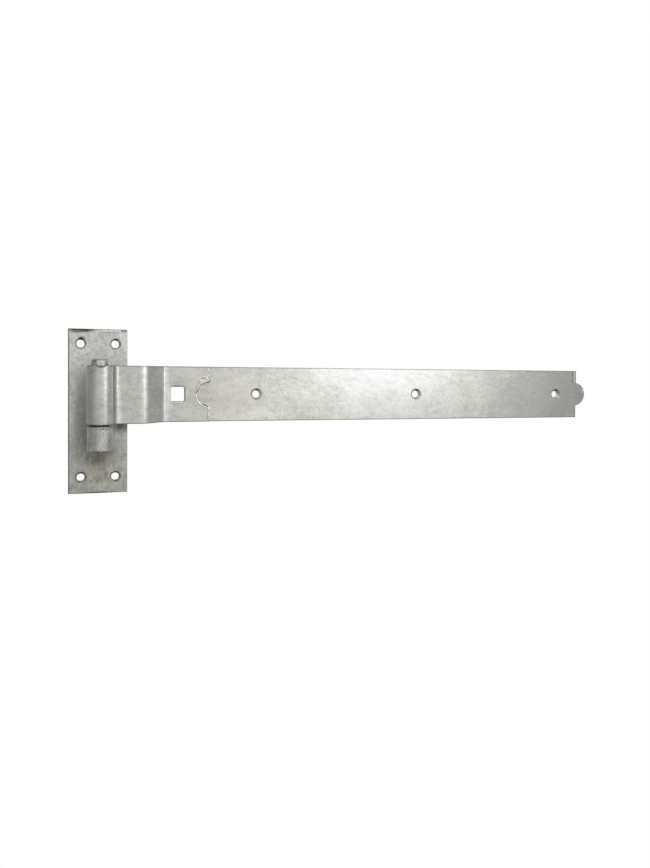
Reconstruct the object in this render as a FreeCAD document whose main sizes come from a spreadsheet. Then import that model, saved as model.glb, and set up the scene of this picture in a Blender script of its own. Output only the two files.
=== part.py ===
import FreeCAD, Part
import math
import os
import Sketcher

# Cranked hook and band gate hinge.
# X runs along the band to its tip, Z up along the pin, and the front faces -Y.
# The origin is the centre of the plate's back face. Sizes are in millimetres.

SIZES = {
    # back plate
    "plate_width": 40.0,
    "plate_height": 115.0,
    "plate_thickness": 4.0,
    "plate_edge_round": 0.4,
    "plate_top_round": 1.6,
    "plate_hole_side_margin": 8.3,
    "plate_hole_top_margin": 10.4,
    "plate_hole_foot_margin": 11.3,
    "plate_hole_bore": 5.4,
    "plate_hole_mouth": 7.7,
    # strip that the band is folded from
    "band_width": 40.0,
    "band_thickness": 3.0,
    "band_edge_round": 0.5,
    "band_rise": 12.0,
    "band_reach": 398.0,
    "fold_gap": 0.15,
    # crank between the eye and the strap
    "crank_offset": 16.5,
    "crank_slope": 49.0,
    "crank_foot_reach": 46.3,
    "crank_foot_radius": 2.2,
    "crank_crown_radius": 10.0,
    "valley_radius": 5.0,
    # hook
    "pin_diameter": 11.4,
    "pin_clearance": 0.05,
    "pin_stand": 4.0,
    "pin_lead_depth": 1.0,
    "pin_lead_width": 0.9,
    "pin_flat_depth": 0.9,
    "pin_flat_height": 4.2,
    "boss_diameter": 16.6,
    "boss_height": 17.3,
    "boss_gap": 1.1,
    "boss_foot_round": 1.4,
    "boss_top_bevel": 0.4,
    "shank_diameter": 13.0,
    "tenon_diameter": 10.0,
    "tenon_head_diameter": 12.4,
    "tenon_head_depth": 1.6,
    "tenon_clearance": 0.02,
    "tenon_recess": 0.1,
    # cut-outs and ends of the band
    "bolt_square": 10.5,
    "bolt_square_round": 1.2,
    "bolt_to_foot": 9.0,
    "bolt_to_notch": 13.2,
    "notch_radius": 9.4,
    "notch_corner_round": 1.5,
    "nub_radius": 9.6,
    "nub_length": 8.7,
    "band_hole_first": 114.0,
    "band_hole_end_margin": 20.5,
    "band_hole_bore": 5.6,
    "band_hole_mouth": 8.9,
    "mouth_angle": 90.0,
}

doc = FreeCAD.newDocument("hook_and_band_hinge")
vec = FreeCAD.Vector

sheet = doc.addObject("Spreadsheet::Sheet", "sizes")
for row, (alias, value) in enumerate(SIZES.items(), start=1):
    sheet.set("A%d" % row, alias)
    sheet.set("B%d" % row, str(value))
    sheet.setAlias("B%d" % row, alias)
doc.recompute()

# Sizes that follow from the sheet.
eye_bore = "(sizes.pin_diameter / 2 + sizes.pin_clearance)"
pin_standoff = "(sizes.crank_offset + sizes.band_thickness + %s)" % eye_bore
double_layer = "(2 * sizes.band_thickness + sizes.fold_gap)"
pin_top = "(sizes.boss_gap + sizes.band_width + sizes.pin_stand)"
band_middle = "(sizes.band_width / 2)"
tenon_drop = "(sizes.band_width / 2 + sizes.boss_gap + sizes.boss_height / 2 - sizes.band_rise)"
bolt_reach = "(sizes.crank_foot_reach + sizes.bolt_to_foot)"
front_layer_reach = "(%s + sizes.bolt_to_notch + sizes.notch_radius)" % bolt_reach
nub_centre = "(sizes.band_reach + sizes.nub_length - sizes.nub_radius)"
hole_row_length = "(sizes.band_reach - sizes.band_hole_end_margin - sizes.band_hole_first)"

START, END, CENTRE = 1, 2, 3
ORIGIN = (-1, 1)
ACROSS, UPRIGHT = -1, -2


def new_body(name):
    body = doc.addObject("PartDesign::Body", name)
    body.Label = name
    return body


def number(expression):
    """What an expression gives now, for a sketch's first shape."""
    result = doc.getObject("back_plate").evalExpression(expression)
    return float(getattr(result, "Value", result))


def plane_sketch(body, name, role, offset=None):
    """A sketch on one of the body's own planes, moved by offset along its normal."""
    sketch = body.newObject("Sketcher::SketchObject", name)
    plane = [f for f in body.Origin.OriginFeatures if f.Role == role][0]
    sketch.AttachmentSupport = [(plane, "")]
    sketch.MapMode = "FlatFace"
    if offset:
        sketch.setExpression("AttachmentOffset.Base.z", offset)
    return sketch


def dimension(sketch, name, expression, kind, *where):
    """A named dimension that the sheet drives."""
    index = sketch.addConstraint(Sketcher.Constraint(kind, *where, number(expression)))
    sketch.renameConstraint(index, name)
    sketch.setExpression("Constraints." + name, expression)


def rule(sketch, kind, *where):
    sketch.addConstraint(Sketcher.Constraint(kind, *where))


def line(sketch, start, end):
    return sketch.addGeometry(Part.LineSegment(vec(*start, 0), vec(*end, 0)))


def arc(sketch, centre, radius, start, end):
    """An anticlockwise arc between two angles in degrees."""
    circle = Part.Circle(vec(*centre, 0), vec(0, 0, 1), radius)
    return sketch.addGeometry(Part.ArcOfCircle(circle, math.radians(start), math.radians(end)))


def hole_circles(sketch, places, bore):
    """One circle for each hole's centre, all of one size."""
    first = None
    for x, z in places:
        circle = Part.Circle(vec(x, z, 0), vec(0, 0, 1), number(bore) / 2)
        index = sketch.addGeometry(circle)
        if first is None:
            first = index
            dimension(sketch, "bore", bore, "Diameter", index)
        else:
            rule(sketch, "Equal", first, index)
    return first


def screw_holes(body, name, sketch, bore, mouth, angle, backwards=False):
    """Through holes whose mouths are countersunk in the sketch's plane."""
    doc.recompute()
    before = body.Shape.Volume
    hole = body.newObject("PartDesign::Hole", name)
    hole.Profile = sketch
    hole.ThreadType = "None"
    hole.DepthType = "ThroughAll"
    hole.HoleCutType = "Countersink"
    hole.Reversed = backwards
    hole.setExpression("Diameter", bore)
    hole.setExpression("HoleCutDiameter", mouth)
    hole.setExpression("HoleCutCountersinkAngle", angle)
    doc.recompute()
    if hole.Shape.Volume >= before:
        raise RuntimeError(name + " cut nothing")
    return hole


def edges_where(feature, test):
    """Names of the straight edges whose two ends pass the test."""
    names = []
    for index, edge in enumerate(feature.Shape.Edges, start=1):
        ends = [v.Point for v in edge.Vertexes]
        if len(ends) == 2 and isinstance(edge.Curve, Part.Line) and all(test(p) for p in ends):
            names.append("Edge%d" % index)
    return names


# Back plate: a sheared flat, rounded over along its top where the shear came down.
plate = new_body("back_plate")
outline = plane_sketch(plate, "plate_outline", "XZ_Plane")
half_w = number("sizes.plate_width") / 2
half_h = number("sizes.plate_height") / 2
corners = [(-half_w, -half_h), (half_w, -half_h), (half_w, half_h), (-half_w, half_h)]
sides = [line(outline, corners[n], corners[(n + 1) % 4]) for n in range(4)]
for n in range(4):
    rule(outline, "Coincident", sides[n], END, sides[(n + 1) % 4], START)
rule(outline, "Horizontal", sides[0])
rule(outline, "Horizontal", sides[2])
rule(outline, "Vertical", sides[1])
rule(outline, "Vertical", sides[3])
rule(outline, "Symmetric", sides[0], START, sides[2], START, *ORIGIN)
dimension(outline, "across", "sizes.plate_width", "DistanceX", sides[0], START, sides[0], END)
dimension(outline, "upright", "sizes.plate_height", "DistanceY", sides[1], START, sides[1], END)
flat = plate.newObject("PartDesign::Pad", "plate_flat")
flat.Profile = outline
flat.setExpression("Length", "sizes.plate_thickness")
doc.recompute()

front = -number("sizes.plate_thickness")
top_edge = edges_where(flat, lambda p: abs(p.y - front) < 1e-6 and abs(p.z - half_h) < 1e-6)
top_round = plate.newObject("PartDesign::Fillet", "plate_top_round")
top_round.Base = (flat, top_edge)
top_round.setExpression("Radius", "sizes.plate_top_round")
doc.recompute()


def on_front_rim(point):
    on_side = abs(abs(point.x) - half_w) < 1e-6
    on_foot = abs(point.z + half_h) < 1e-6
    return abs(point.y - front) < 1e-6 and (on_side or on_foot)


rim = edges_where(top_round, on_front_rim)
edge_round = plate.newObject("PartDesign::Fillet", "plate_edge_round")
edge_round.Base = (top_round, rim)
edge_round.setExpression("Radius", "sizes.plate_edge_round")
doc.recompute()

# Four countersunk screw holes, each pair set in from its own end of the plate.
places = plane_sketch(plate, "plate_hole_places", "XZ_Plane", "sizes.plate_thickness")
hole_x = half_w - number("sizes.plate_hole_side_margin")
hole_top = half_h - number("sizes.plate_hole_top_margin")
hole_foot = number("sizes.plate_hole_foot_margin") - half_h
grid = [(-hole_x, hole_foot), (hole_x, hole_foot), (hole_x, hole_top), (-hole_x, hole_top)]
hole_circles(places, grid, "sizes.plate_hole_bore")
rule(places, "Symmetric", 0, CENTRE, 1, CENTRE, UPRIGHT)
rule(places, "Vertical", 1, CENTRE, 2, CENTRE)
rule(places, "Horizontal", 2, CENTRE, 3, CENTRE)
rule(places, "Vertical", 3, CENTRE, 0, CENTRE)
dimension(places, "across", "sizes.plate_width - 2 * sizes.plate_hole_side_margin",
          "DistanceX", 0, CENTRE, 1, CENTRE)
dimension(places, "top", "sizes.plate_height / 2 - sizes.plate_hole_top_margin",
          "DistanceY", *ORIGIN, 2, CENTRE)
dimension(places, "foot", "sizes.plate_height / 2 - sizes.plate_hole_foot_margin",
          "DistanceY", 0, CENTRE, *ORIGIN)
screw_holes(plate, "plate_screw_holes", places, "sizes.plate_hole_bore",
            "sizes.plate_hole_mouth", "sizes.mouth_angle")

# Hole for the hook's tenon, flared at the back for its hammered head.
tenon_place = plane_sketch(plate, "tenon_place", "XZ_Plane")
tenon_hole = "(sizes.tenon_diameter + 2 * sizes.tenon_clearance)"
tenon_slope = "((sizes.tenon_head_diameter - sizes.tenon_diameter) / 2 / sizes.tenon_head_depth)"
tenon_mouth = ("(sizes.tenon_head_diameter + 2 * sizes.tenon_clearance"
               " + 2 * sizes.tenon_recess * %s)" % tenon_slope)
hole_circles(tenon_place, [(0, -number(tenon_drop))], tenon_hole)
rule(tenon_place, "PointOnObject", 0, CENTRE, UPRIGHT)
dimension(tenon_place, "drop", tenon_drop, "DistanceY", 0, CENTRE, *ORIGIN)
screw_holes(plate, "tenon_seat", tenon_place, tenon_hole, tenon_mouth,
            "2 * atan(%s)" % tenon_slope, backwards=True)

# Hook: a forged boss with the pin turned on top of it, carried on a round shank.
# Its own origin is on the pin's axis, level with the boss's top.
hook = new_body("hook")
hook.setExpression("Placement.Base.y", "-" + pin_standoff)
hook.setExpression("Placement.Base.z", "sizes.band_rise - sizes.band_width / 2 - sizes.boss_gap")
turned = plane_sketch(hook, "pin_and_boss_section", "XZ_Plane")
boss_r = number("sizes.boss_diameter") / 2
pin_r = number("sizes.pin_diameter") / 2
low = -number("sizes.boss_height")
high = number(pin_top)
foot_r = number("sizes.boss_foot_round")
bevel = number("sizes.boss_top_bevel")
lead_w = number("sizes.pin_lead_width")
lead_d = number("sizes.pin_lead_depth")
foot = line(turned, (0, low), (boss_r - foot_r, low))
foot_arc = arc(turned, (boss_r - foot_r, low + foot_r), foot_r, 270, 360)
wall = line(turned, (boss_r, low + foot_r), (boss_r, -bevel))
lip = line(turned, (boss_r, -bevel), (boss_r - bevel, 0))
shoulder = line(turned, (boss_r - bevel, 0), (pin_r, 0))
pin_wall = line(turned, (pin_r, 0), (pin_r, high - lead_d))
lead = line(turned, (pin_r, high - lead_d), (pin_r - lead_w, high))
pin_end = line(turned, (pin_r - lead_w, high), (0, high))
axis_line = line(turned, (0, high), (0, low))
rule(turned, "Tangent", foot, END, foot_arc, START)
rule(turned, "Tangent", foot_arc, END, wall, START)
for before, after in ((wall, lip), (lip, shoulder), (shoulder, pin_wall), (pin_wall, lead),
                      (lead, pin_end), (pin_end, axis_line), (axis_line, foot)):
    rule(turned, "Coincident", before, END, after, START)
for level in (foot, shoulder, pin_end):
    rule(turned, "Horizontal", level)
for upright in (wall, pin_wall, axis_line):
    rule(turned, "Vertical", upright)
rule(turned, "PointOnObject", axis_line, END, UPRIGHT)
rule(turned, "PointOnObject", shoulder, END, ACROSS)
dimension(turned, "boss_radius", "sizes.boss_diameter / 2", "DistanceX", *ORIGIN, wall, END)
dimension(turned, "pin_radius", "sizes.pin_diameter / 2", "DistanceX", *ORIGIN, pin_wall, START)
dimension(turned, "boss_height", "sizes.boss_height", "DistanceY", axis_line, END, *ORIGIN)
dimension(turned, "pin_height", pin_top, "DistanceY", *ORIGIN, axis_line, START)
dimension(turned, "foot_round", "sizes.boss_foot_round", "Radius", foot_arc)
dimension(turned, "lip_width", "sizes.boss_top_bevel", "DistanceX", lip, END, lip, START)
dimension(turned, "lip_depth", "sizes.boss_top_bevel", "DistanceY", lip, START, lip, END)
dimension(turned, "lead_width", "sizes.pin_lead_width", "DistanceX", lead, END, lead, START)
dimension(turned, "lead_depth", "sizes.pin_lead_depth", "DistanceY", lead, START, lead, END)
pin_and_boss = hook.newObject("PartDesign::Revolution", "pin_and_boss")
pin_and_boss.Profile = turned
pin_and_boss.ReferenceAxis = (turned, ["V_Axis"])
pin_and_boss.Angle = 360
doc.recompute()

# Shank, tenon and hammered head, turned about the shank's own axis.
drawn = plane_sketch(hook, "shank_section", "YZ_Plane")
level = -number("sizes.boss_height") / 2
reach = number(pin_standoff) - number("sizes.plate_thickness")
back = number(pin_standoff) - number("sizes.tenon_recess")
shank_r = number("sizes.shank_diameter") / 2
tenon_r = number("sizes.tenon_diameter") / 2
head_r = number("sizes.tenon_head_diameter") / 2
head_d = number("sizes.tenon_head_depth")
stations = [
    (0, 0), (0, shank_r), (reach, shank_r), (reach, tenon_r),
    (back - head_d, tenon_r), (back, head_r), (back, 0),
]
ring = [(y, level + r) for y, r in stations]
runs = [line(drawn, ring[n], ring[(n + 1) % 7]) for n in range(7)]
root, shank_side, plate_stop, tenon_side, flare, head_face, shank_axis = runs
for n in range(7):
    rule(drawn, "Coincident", runs[n], END, runs[(n + 1) % 7], START)
for upright in (root, plate_stop, head_face):
    rule(drawn, "Vertical", upright)
for along in (shank_side, tenon_side, shank_axis):
    rule(drawn, "Horizontal", along)
rule(drawn, "PointOnObject", root, START, UPRIGHT)
dimension(drawn, "level", "sizes.boss_height / 2", "DistanceY", root, START, *ORIGIN)
dimension(drawn, "shank_radius", "sizes.shank_diameter / 2", "DistanceY", root, START, root, END)
dimension(drawn, "reach", pin_standoff + " - sizes.plate_thickness", "DistanceX",
          shank_side, START, shank_side, END)
dimension(drawn, "tenon_radius", "sizes.tenon_diameter / 2", "DistanceY",
          root, START, tenon_side, START)
dimension(drawn, "back", pin_standoff + " - sizes.tenon_recess", "DistanceX",
          shank_axis, END, shank_axis, START)
dimension(drawn, "head_radius", "sizes.tenon_head_diameter / 2", "DistanceY",
          head_face, END, head_face, START)
dimension(drawn, "head_depth", "sizes.tenon_head_depth", "DistanceX", flare, START, flare, END)
turning_line = drawn.addGeometry(
    Part.LineSegment(vec(0, level, 0), vec(back, level, 0)), True)
rule(drawn, "Coincident", turning_line, START, root, START)
rule(drawn, "Coincident", turning_line, END, head_face, END)
shank = hook.newObject("PartDesign::Revolution", "shank_and_tenon")
shank.Profile = drawn
shank.ReferenceAxis = (drawn, ["Axis0"])
shank.Angle = 360
doc.recompute()

# Flat hammered on the front of the pin's end, running out level with the eye's top.
wedge = plane_sketch(hook, "pin_flat_wedge", "YZ_Plane")
flat_d = number("sizes.pin_flat_depth")
flat_h = number("sizes.pin_flat_height")
wedge_top = line(wedge, (flat_d - pin_r, high), (-flat_d - pin_r, high))
wedge_side = line(wedge, (-flat_d - pin_r, high), (-flat_d - pin_r, high - 2 * flat_h))
wedge_face = line(wedge, (-flat_d - pin_r, high - 2 * flat_h), (flat_d - pin_r, high))
for before, after in ((wedge_top, wedge_side), (wedge_side, wedge_face), (wedge_face, wedge_top)):
    rule(wedge, "Coincident", before, END, after, START)
rule(wedge, "Horizontal", wedge_top)
rule(wedge, "Vertical", wedge_side)
dimension(wedge, "flat_depth", "2 * sizes.pin_flat_depth", "DistanceX",
          wedge_top, END, wedge_top, START)
dimension(wedge, "flat_height", "2 * sizes.pin_flat_height", "DistanceY",
          wedge_side, END, wedge_side, START)
dimension(wedge, "pin_side", "sizes.pin_diameter / 2 - sizes.pin_flat_depth", "DistanceX",
          wedge_top, START, *ORIGIN)
dimension(wedge, "pin_height", pin_top, "DistanceY", *ORIGIN, wedge_top, START)
pin_flat = hook.newObject("PartDesign::Pocket", "pin_flat")
pin_flat.Profile = wedge
pin_flat.Type = "ThroughAll"
pin_flat.SideType = "Symmetric"
doc.recompute()
if pin_flat.Shape.Volume >= shank.Shape.Volume:
    raise RuntimeError("pin_flat cut nothing")

# Band: one strip, folded round the pin and pressed back on itself, then cranked.
# Its own origin is level with the strip's lower edge. The path is the strip's inner
# side, from the end of the front layer round the eye to the tip.
band = new_body("band")
band.setExpression("Placement.Base.z", "sizes.band_rise - sizes.band_width / 2")
path = plane_sketch(band, "fold_path", "XY_Plane")
thick = number("sizes.band_thickness")
gap = number("sizes.fold_gap")
offset = number("sizes.crank_offset")
bore_r = number(eye_bore)
stand = number(pin_standoff)
double = number(double_layer)
slope = number("sizes.crank_slope")
lean = math.radians(slope)
foot_x = number("sizes.crank_foot_reach")
foot_in = number("sizes.crank_foot_radius")
crown_out = number("sizes.crank_crown_radius")
valley_in = number("sizes.valley_radius")
front_end = number(front_layer_reach)
tip = number("sizes.band_reach")

foot_y = -(double + foot_in)
crown_y = -(offset + double) + crown_out
drop = foot_y - crown_y
crown_x = foot_x - ((crown_out + foot_in) + drop * math.cos(lean)) / math.sin(lean)
valley_y = -(offset + double) - valley_in
valley_reach = bore_r + thick + valley_in
valley_x = math.sqrt(valley_reach ** 2 - (valley_y + stand) ** 2)
neck = math.degrees(math.atan2(valley_y + stand, valley_x))
foot_c = (foot_x, foot_y)
crown_c = (crown_x, crown_y)
valley_c = (valley_x, valley_y)
eye_c = (0, -stand)


def on_circle(centre, radius, angle):
    turn = math.radians(angle)
    return (centre[0] + radius * math.cos(turn), centre[1] + radius * math.sin(turn))


foot_front_r = foot_in + thick
foot_back_r = foot_front_r + gap
crown_front_r = crown_out - thick
crown_back_r = crown_front_r - gap
valley_r = valley_in + thick
steep = 90 + slope
above = slope - 90

front_flat = line(path, (front_end, -(thick + gap)), (foot_x, -(thick + gap)))
foot_front = arc(path, foot_c, foot_front_r, 90, steep)
slope_front = line(path, on_circle(foot_c, foot_front_r, steep),
                   on_circle(crown_c, crown_front_r, above))
crown_front = arc(path, crown_c, crown_front_r, -90, above)
raised_front = line(path, on_circle(crown_c, crown_front_r, -90),
                    on_circle(valley_c, valley_r, 90))
valley = arc(path, valley_c, valley_r, 90, 180 + neck)
eye = arc(path, eye_c, bore_r, 90, 360 + neck)
raised_back = line(path, on_circle(eye_c, bore_r, 90), on_circle(crown_c, crown_back_r, -90))
crown_back = arc(path, crown_c, crown_back_r, -90, above)
slope_back = line(path, on_circle(crown_c, crown_back_r, above),
                  on_circle(foot_c, foot_back_r, steep))
foot_back = arc(path, foot_c, foot_back_r, 90, steep)
strap = line(path, (foot_x, -thick), (tip, -thick))

rule(path, "Tangent", front_flat, END, foot_front, START)
rule(path, "Tangent", foot_front, END, slope_front, START)
rule(path, "Tangent", slope_front, END, crown_front, END)
rule(path, "Tangent", crown_front, START, raised_front, START)
rule(path, "Tangent", raised_front, END, valley, START)
rule(path, "Tangent", valley, END, eye, END)
rule(path, "Tangent", eye, START, raised_back, START)
rule(path, "Tangent", raised_back, END, crown_back, START)
rule(path, "Tangent", crown_back, END, slope_back, START)
rule(path, "Tangent", slope_back, END, foot_back, END)
rule(path, "Tangent", foot_back, START, strap, START)
for flat_run in (front_flat, raised_front, raised_back, strap):
    rule(path, "Horizontal", flat_run)
rule(path, "Coincident", crown_back, CENTRE, crown_front, CENTRE)
rule(path, "Coincident", foot_back, CENTRE, foot_front, CENTRE)
rule(path, "PointOnObject", eye, CENTRE, UPRIGHT)
dimension(path, "pin_standoff", pin_standoff, "DistanceY", eye, CENTRE, *ORIGIN)
dimension(path, "eye_bore", eye_bore, "Radius", eye)
dimension(path, "valley", "sizes.valley_radius + sizes.band_thickness", "Radius", valley)
dimension(path, "crown_front", "sizes.crank_crown_radius - sizes.band_thickness",
          "Radius", crown_front)
dimension(path, "crown_back", "sizes.crank_crown_radius - sizes.band_thickness - sizes.fold_gap",
          "Radius", crown_back)
dimension(path, "foot_front", "sizes.crank_foot_radius + sizes.band_thickness",
          "Radius", foot_front)
dimension(path, "foot_back", "sizes.crank_foot_radius + sizes.band_thickness + sizes.fold_gap",
          "Radius", foot_back)
dimension(path, "strap_skin", "sizes.band_thickness", "DistanceY", strap, END, *ORIGIN)
dimension(path, "foot_reach", "sizes.crank_foot_reach", "DistanceX", *ORIGIN, foot_front, CENTRE)
slope_angle = path.addConstraint(Sketcher.Constraint("Angle", slope_back, lean))
path.renameConstraint(slope_angle, "slope")
path.setExpression("Constraints.slope", "sizes.crank_slope * 1 deg")
dimension(path, "front_reach", front_layer_reach, "DistanceX", *ORIGIN, front_flat, START)
dimension(path, "reach", "sizes.band_reach", "DistanceX", *ORIGIN, strap, END)
doc.recompute()

# The strip's section is the path thickened outward, away from the fold.
section = band.newObject("PartDesign::SubShapeBinder", "strip_section")
section.Support = [(path, ("",))]
section.OffsetFill = True
section.OffsetOpenResult = True
section.setExpression("Offset", "-sizes.band_thickness")
doc.recompute()
strip = band.newObject("PartDesign::Pad", "folded_strip")
strip.Profile = (section, [""])
strip.setExpression("Length", "sizes.band_width")
doc.recompute()

# The strip was rolled to width, so its long edges are soft on both sides.
ends = (front_end, tip)
width = number("sizes.band_width")


def is_long_edge(edge):
    box = edge.BoundBox
    in_side = box.ZLength < 1e-6 and (abs(box.ZMin) < 1e-6 or abs(box.ZMin - width) < 1e-6)
    at_end = box.XLength < 1e-6 and any(abs(box.XMin - x) < 1e-6 for x in ends)
    return in_side and not at_end


numbered = enumerate(strip.Shape.Edges, start=1)
long_edges = ["Edge%d" % n for n, edge in numbered if is_long_edge(edge)]
strip_round = band.newObject("PartDesign::Fillet", "strip_edge_round")
strip_round.Base = (strip, long_edges)
strip_round.setExpression("Radius", "sizes.band_edge_round")
doc.recompute()

# Round nub on the tip, between square shoulders.
nub_outline = plane_sketch(band, "nub_outline", "XZ_Plane")
nub_r = number("sizes.nub_radius")
nub_x = number(nub_centre)
mid = number(band_middle)
half_chord = math.sqrt(nub_r ** 2 - (tip - nub_x) ** 2)
nub_turn = math.degrees(math.atan2(half_chord, tip - nub_x))
nub_arc = arc(nub_outline, (nub_x, mid), nub_r, -nub_turn, nub_turn)
nub_chord = line(nub_outline, (tip, mid + half_chord), (tip, mid - half_chord))
rule(nub_outline, "Coincident", nub_arc, END, nub_chord, START)
rule(nub_outline, "Coincident", nub_chord, END, nub_arc, START)
rule(nub_outline, "Vertical", nub_chord)
dimension(nub_outline, "nub_radius", "sizes.nub_radius", "Radius", nub_arc)
dimension(nub_outline, "nub_centre", nub_centre, "DistanceX", *ORIGIN, nub_arc, CENTRE)
dimension(nub_outline, "nub_height", band_middle, "DistanceY", *ORIGIN, nub_arc, CENTRE)
dimension(nub_outline, "shoulder", "sizes.band_reach", "DistanceX", *ORIGIN, nub_chord, START)
nub = band.newObject("PartDesign::Pad", "tip_nub")
nub.Profile = nub_outline
nub.setExpression("Length", "sizes.band_thickness")
doc.recompute()


def cut_from_back(name, sketch, length=None, backwards=True):
    """Pocket that must take something away."""
    doc.recompute()
    before = band.Shape.Volume
    pocket = band.newObject("PartDesign::Pocket", name)
    pocket.Profile = sketch
    pocket.Reversed = backwards
    if length:
        pocket.setExpression("Length", length)
    else:
        pocket.Type = "ThroughAll"
    doc.recompute()
    if pocket.Shape.Volume >= before:
        raise RuntimeError(name + " cut nothing")
    return pocket


# Half-round notch in the end of the front layer, where the next strip's nub was cut out.
notch_place = plane_sketch(band, "notch_place", "XZ_Plane", double_layer)
notch_r = number("sizes.notch_radius")
notch_circle = notch_place.addGeometry(Part.Circle(vec(front_end, mid, 0), vec(0, 0, 1), notch_r))
dimension(notch_place, "notch_radius", "sizes.notch_radius", "Radius", notch_circle)
dimension(notch_place, "notch_reach", front_layer_reach, "DistanceX",
          *ORIGIN, notch_circle, CENTRE)
dimension(notch_place, "notch_height", band_middle, "DistanceY", *ORIGIN, notch_circle, CENTRE)
notch = cut_from_back("front_layer_notch", notch_place,
                      "sizes.band_thickness + sizes.fold_gap / 2", backwards=False)


def on_notch_corner(point):
    at_end = abs(point.x - front_end) < 1e-3
    return at_end and abs(abs(point.z - mid) - notch_r) < 1e-3


notch_corners = band.newObject("PartDesign::Fillet", "notch_corner_round")
notch_corners.Base = (notch, edges_where(notch, on_notch_corner))
notch_corners.setExpression("Radius", "sizes.notch_corner_round")

# Square hole through both layers for the neck of a coach bolt.
square = plane_sketch(band, "bolt_square_outline", "XZ_Plane")
bolt_x = number(bolt_reach)
half_s = number("sizes.bolt_square") / 2
soft = number("sizes.bolt_square_round")
flat_half = half_s - soft
west, east = bolt_x - half_s, bolt_x + half_s
south, north = mid - half_s, mid + half_s
lower = line(square, (west + soft, south), (east - soft, south))
corner_a = arc(square, (east - soft, south + soft), soft, 270, 360)
right = line(square, (east, south + soft), (east, north - soft))
corner_b = arc(square, (east - soft, north - soft), soft, 0, 90)
upper = line(square, (east - soft, north), (west + soft, north))
corner_c = arc(square, (west + soft, north - soft), soft, 90, 180)
left = line(square, (west, north - soft), (west, south + soft))
corner_d = arc(square, (west + soft, south + soft), soft, 180, 270)
loop = [lower, corner_a, right, corner_b, upper, corner_c, left, corner_d]
for n in range(8):
    rule(square, "Tangent", loop[n], END, loop[(n + 1) % 8], START)
for level_side in (lower, upper):
    rule(square, "Horizontal", level_side)
for upright_side in (left, right):
    rule(square, "Vertical", upright_side)
for corner in (corner_b, corner_c, corner_d):
    rule(square, "Equal", corner_a, corner)
bolt_middle = square.addGeometry(Part.Point(vec(bolt_x, mid, 0)), True)
rule(square, "Symmetric", corner_d, CENTRE, corner_b, CENTRE, bolt_middle, START)
dimension(square, "corner_round", "sizes.bolt_square_round", "Radius", corner_a)
dimension(square, "across", "sizes.bolt_square", "DistanceX", left, START, right, START)
dimension(square, "upright", "sizes.bolt_square", "DistanceY", lower, START, upper, START)
dimension(square, "bolt_reach", bolt_reach, "DistanceX", *ORIGIN, bolt_middle, START)
dimension(square, "bolt_height", band_middle, "DistanceY", *ORIGIN, bolt_middle, START)
cut_from_back("bolt_square_hole", square)

# Three countersunk screw holes along the strap.
strap_places = plane_sketch(band, "strap_hole_place", "XZ_Plane", "sizes.band_thickness")
hole_circles(strap_places, [(number("sizes.band_hole_first"), mid)], "sizes.band_hole_bore")
dimension(strap_places, "first", "sizes.band_hole_first", "DistanceX", *ORIGIN, 0, CENTRE)
dimension(strap_places, "height", band_middle, "DistanceY", *ORIGIN, 0, CENTRE)
first_hole = screw_holes(band, "strap_screw_hole", strap_places, "sizes.band_hole_bore",
                         "sizes.band_hole_mouth", "sizes.mouth_angle")
hole_row = band.newObject("PartDesign::LinearPattern", "strap_screw_row")
hole_row.Originals = [first_hole]
hole_row.Direction = (strap_places, ["H_Axis"])
hole_row.Occurrences = 3
hole_row.setExpression("Length", hole_row_length)
band.Tip = hole_row
doc.recompute()

# Every object must be sound before anything is written.
SUB_PARTS = (plate, hook, band)
for item in doc.Objects:
    if "Invalid" in item.State or "Error" in item.State:
        raise RuntimeError("%s failed: %s" % (item.Name, item.State))
for sub_part in SUB_PARTS:
    shape = sub_part.Shape
    if shape.isNull() or not shape.isValid() or len(shape.Solids) != 1:
        raise RuntimeError("%s is not one sound solid" % sub_part.Label)

os.makedirs("parts", exist_ok=True)
for sub_part in SUB_PARTS:
    sub_part.Shape.exportStep("parts/%s.step" % sub_part.Label)
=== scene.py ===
import math
import random

import bpy
from mathutils import Matrix, Vector
from mathutils import noise as ripple


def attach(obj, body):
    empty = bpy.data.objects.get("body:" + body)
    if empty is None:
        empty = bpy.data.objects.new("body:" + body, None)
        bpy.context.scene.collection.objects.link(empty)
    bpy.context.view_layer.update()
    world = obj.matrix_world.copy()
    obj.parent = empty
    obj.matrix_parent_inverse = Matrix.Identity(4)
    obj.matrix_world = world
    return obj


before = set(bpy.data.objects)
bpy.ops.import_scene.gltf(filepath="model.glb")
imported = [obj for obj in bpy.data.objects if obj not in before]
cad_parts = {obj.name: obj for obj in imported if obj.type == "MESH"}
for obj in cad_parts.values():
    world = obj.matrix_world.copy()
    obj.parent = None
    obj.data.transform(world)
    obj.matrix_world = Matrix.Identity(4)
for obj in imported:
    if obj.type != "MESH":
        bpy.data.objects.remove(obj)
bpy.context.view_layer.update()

# Galvanised hook and band hinge on a plain white ground.
# Metres, in the hinge's own frame: +X along the band, +Z up the pin, front faces -Y.
# Marks and zinc details are listed in millimetres.

MM = 0.001

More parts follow.
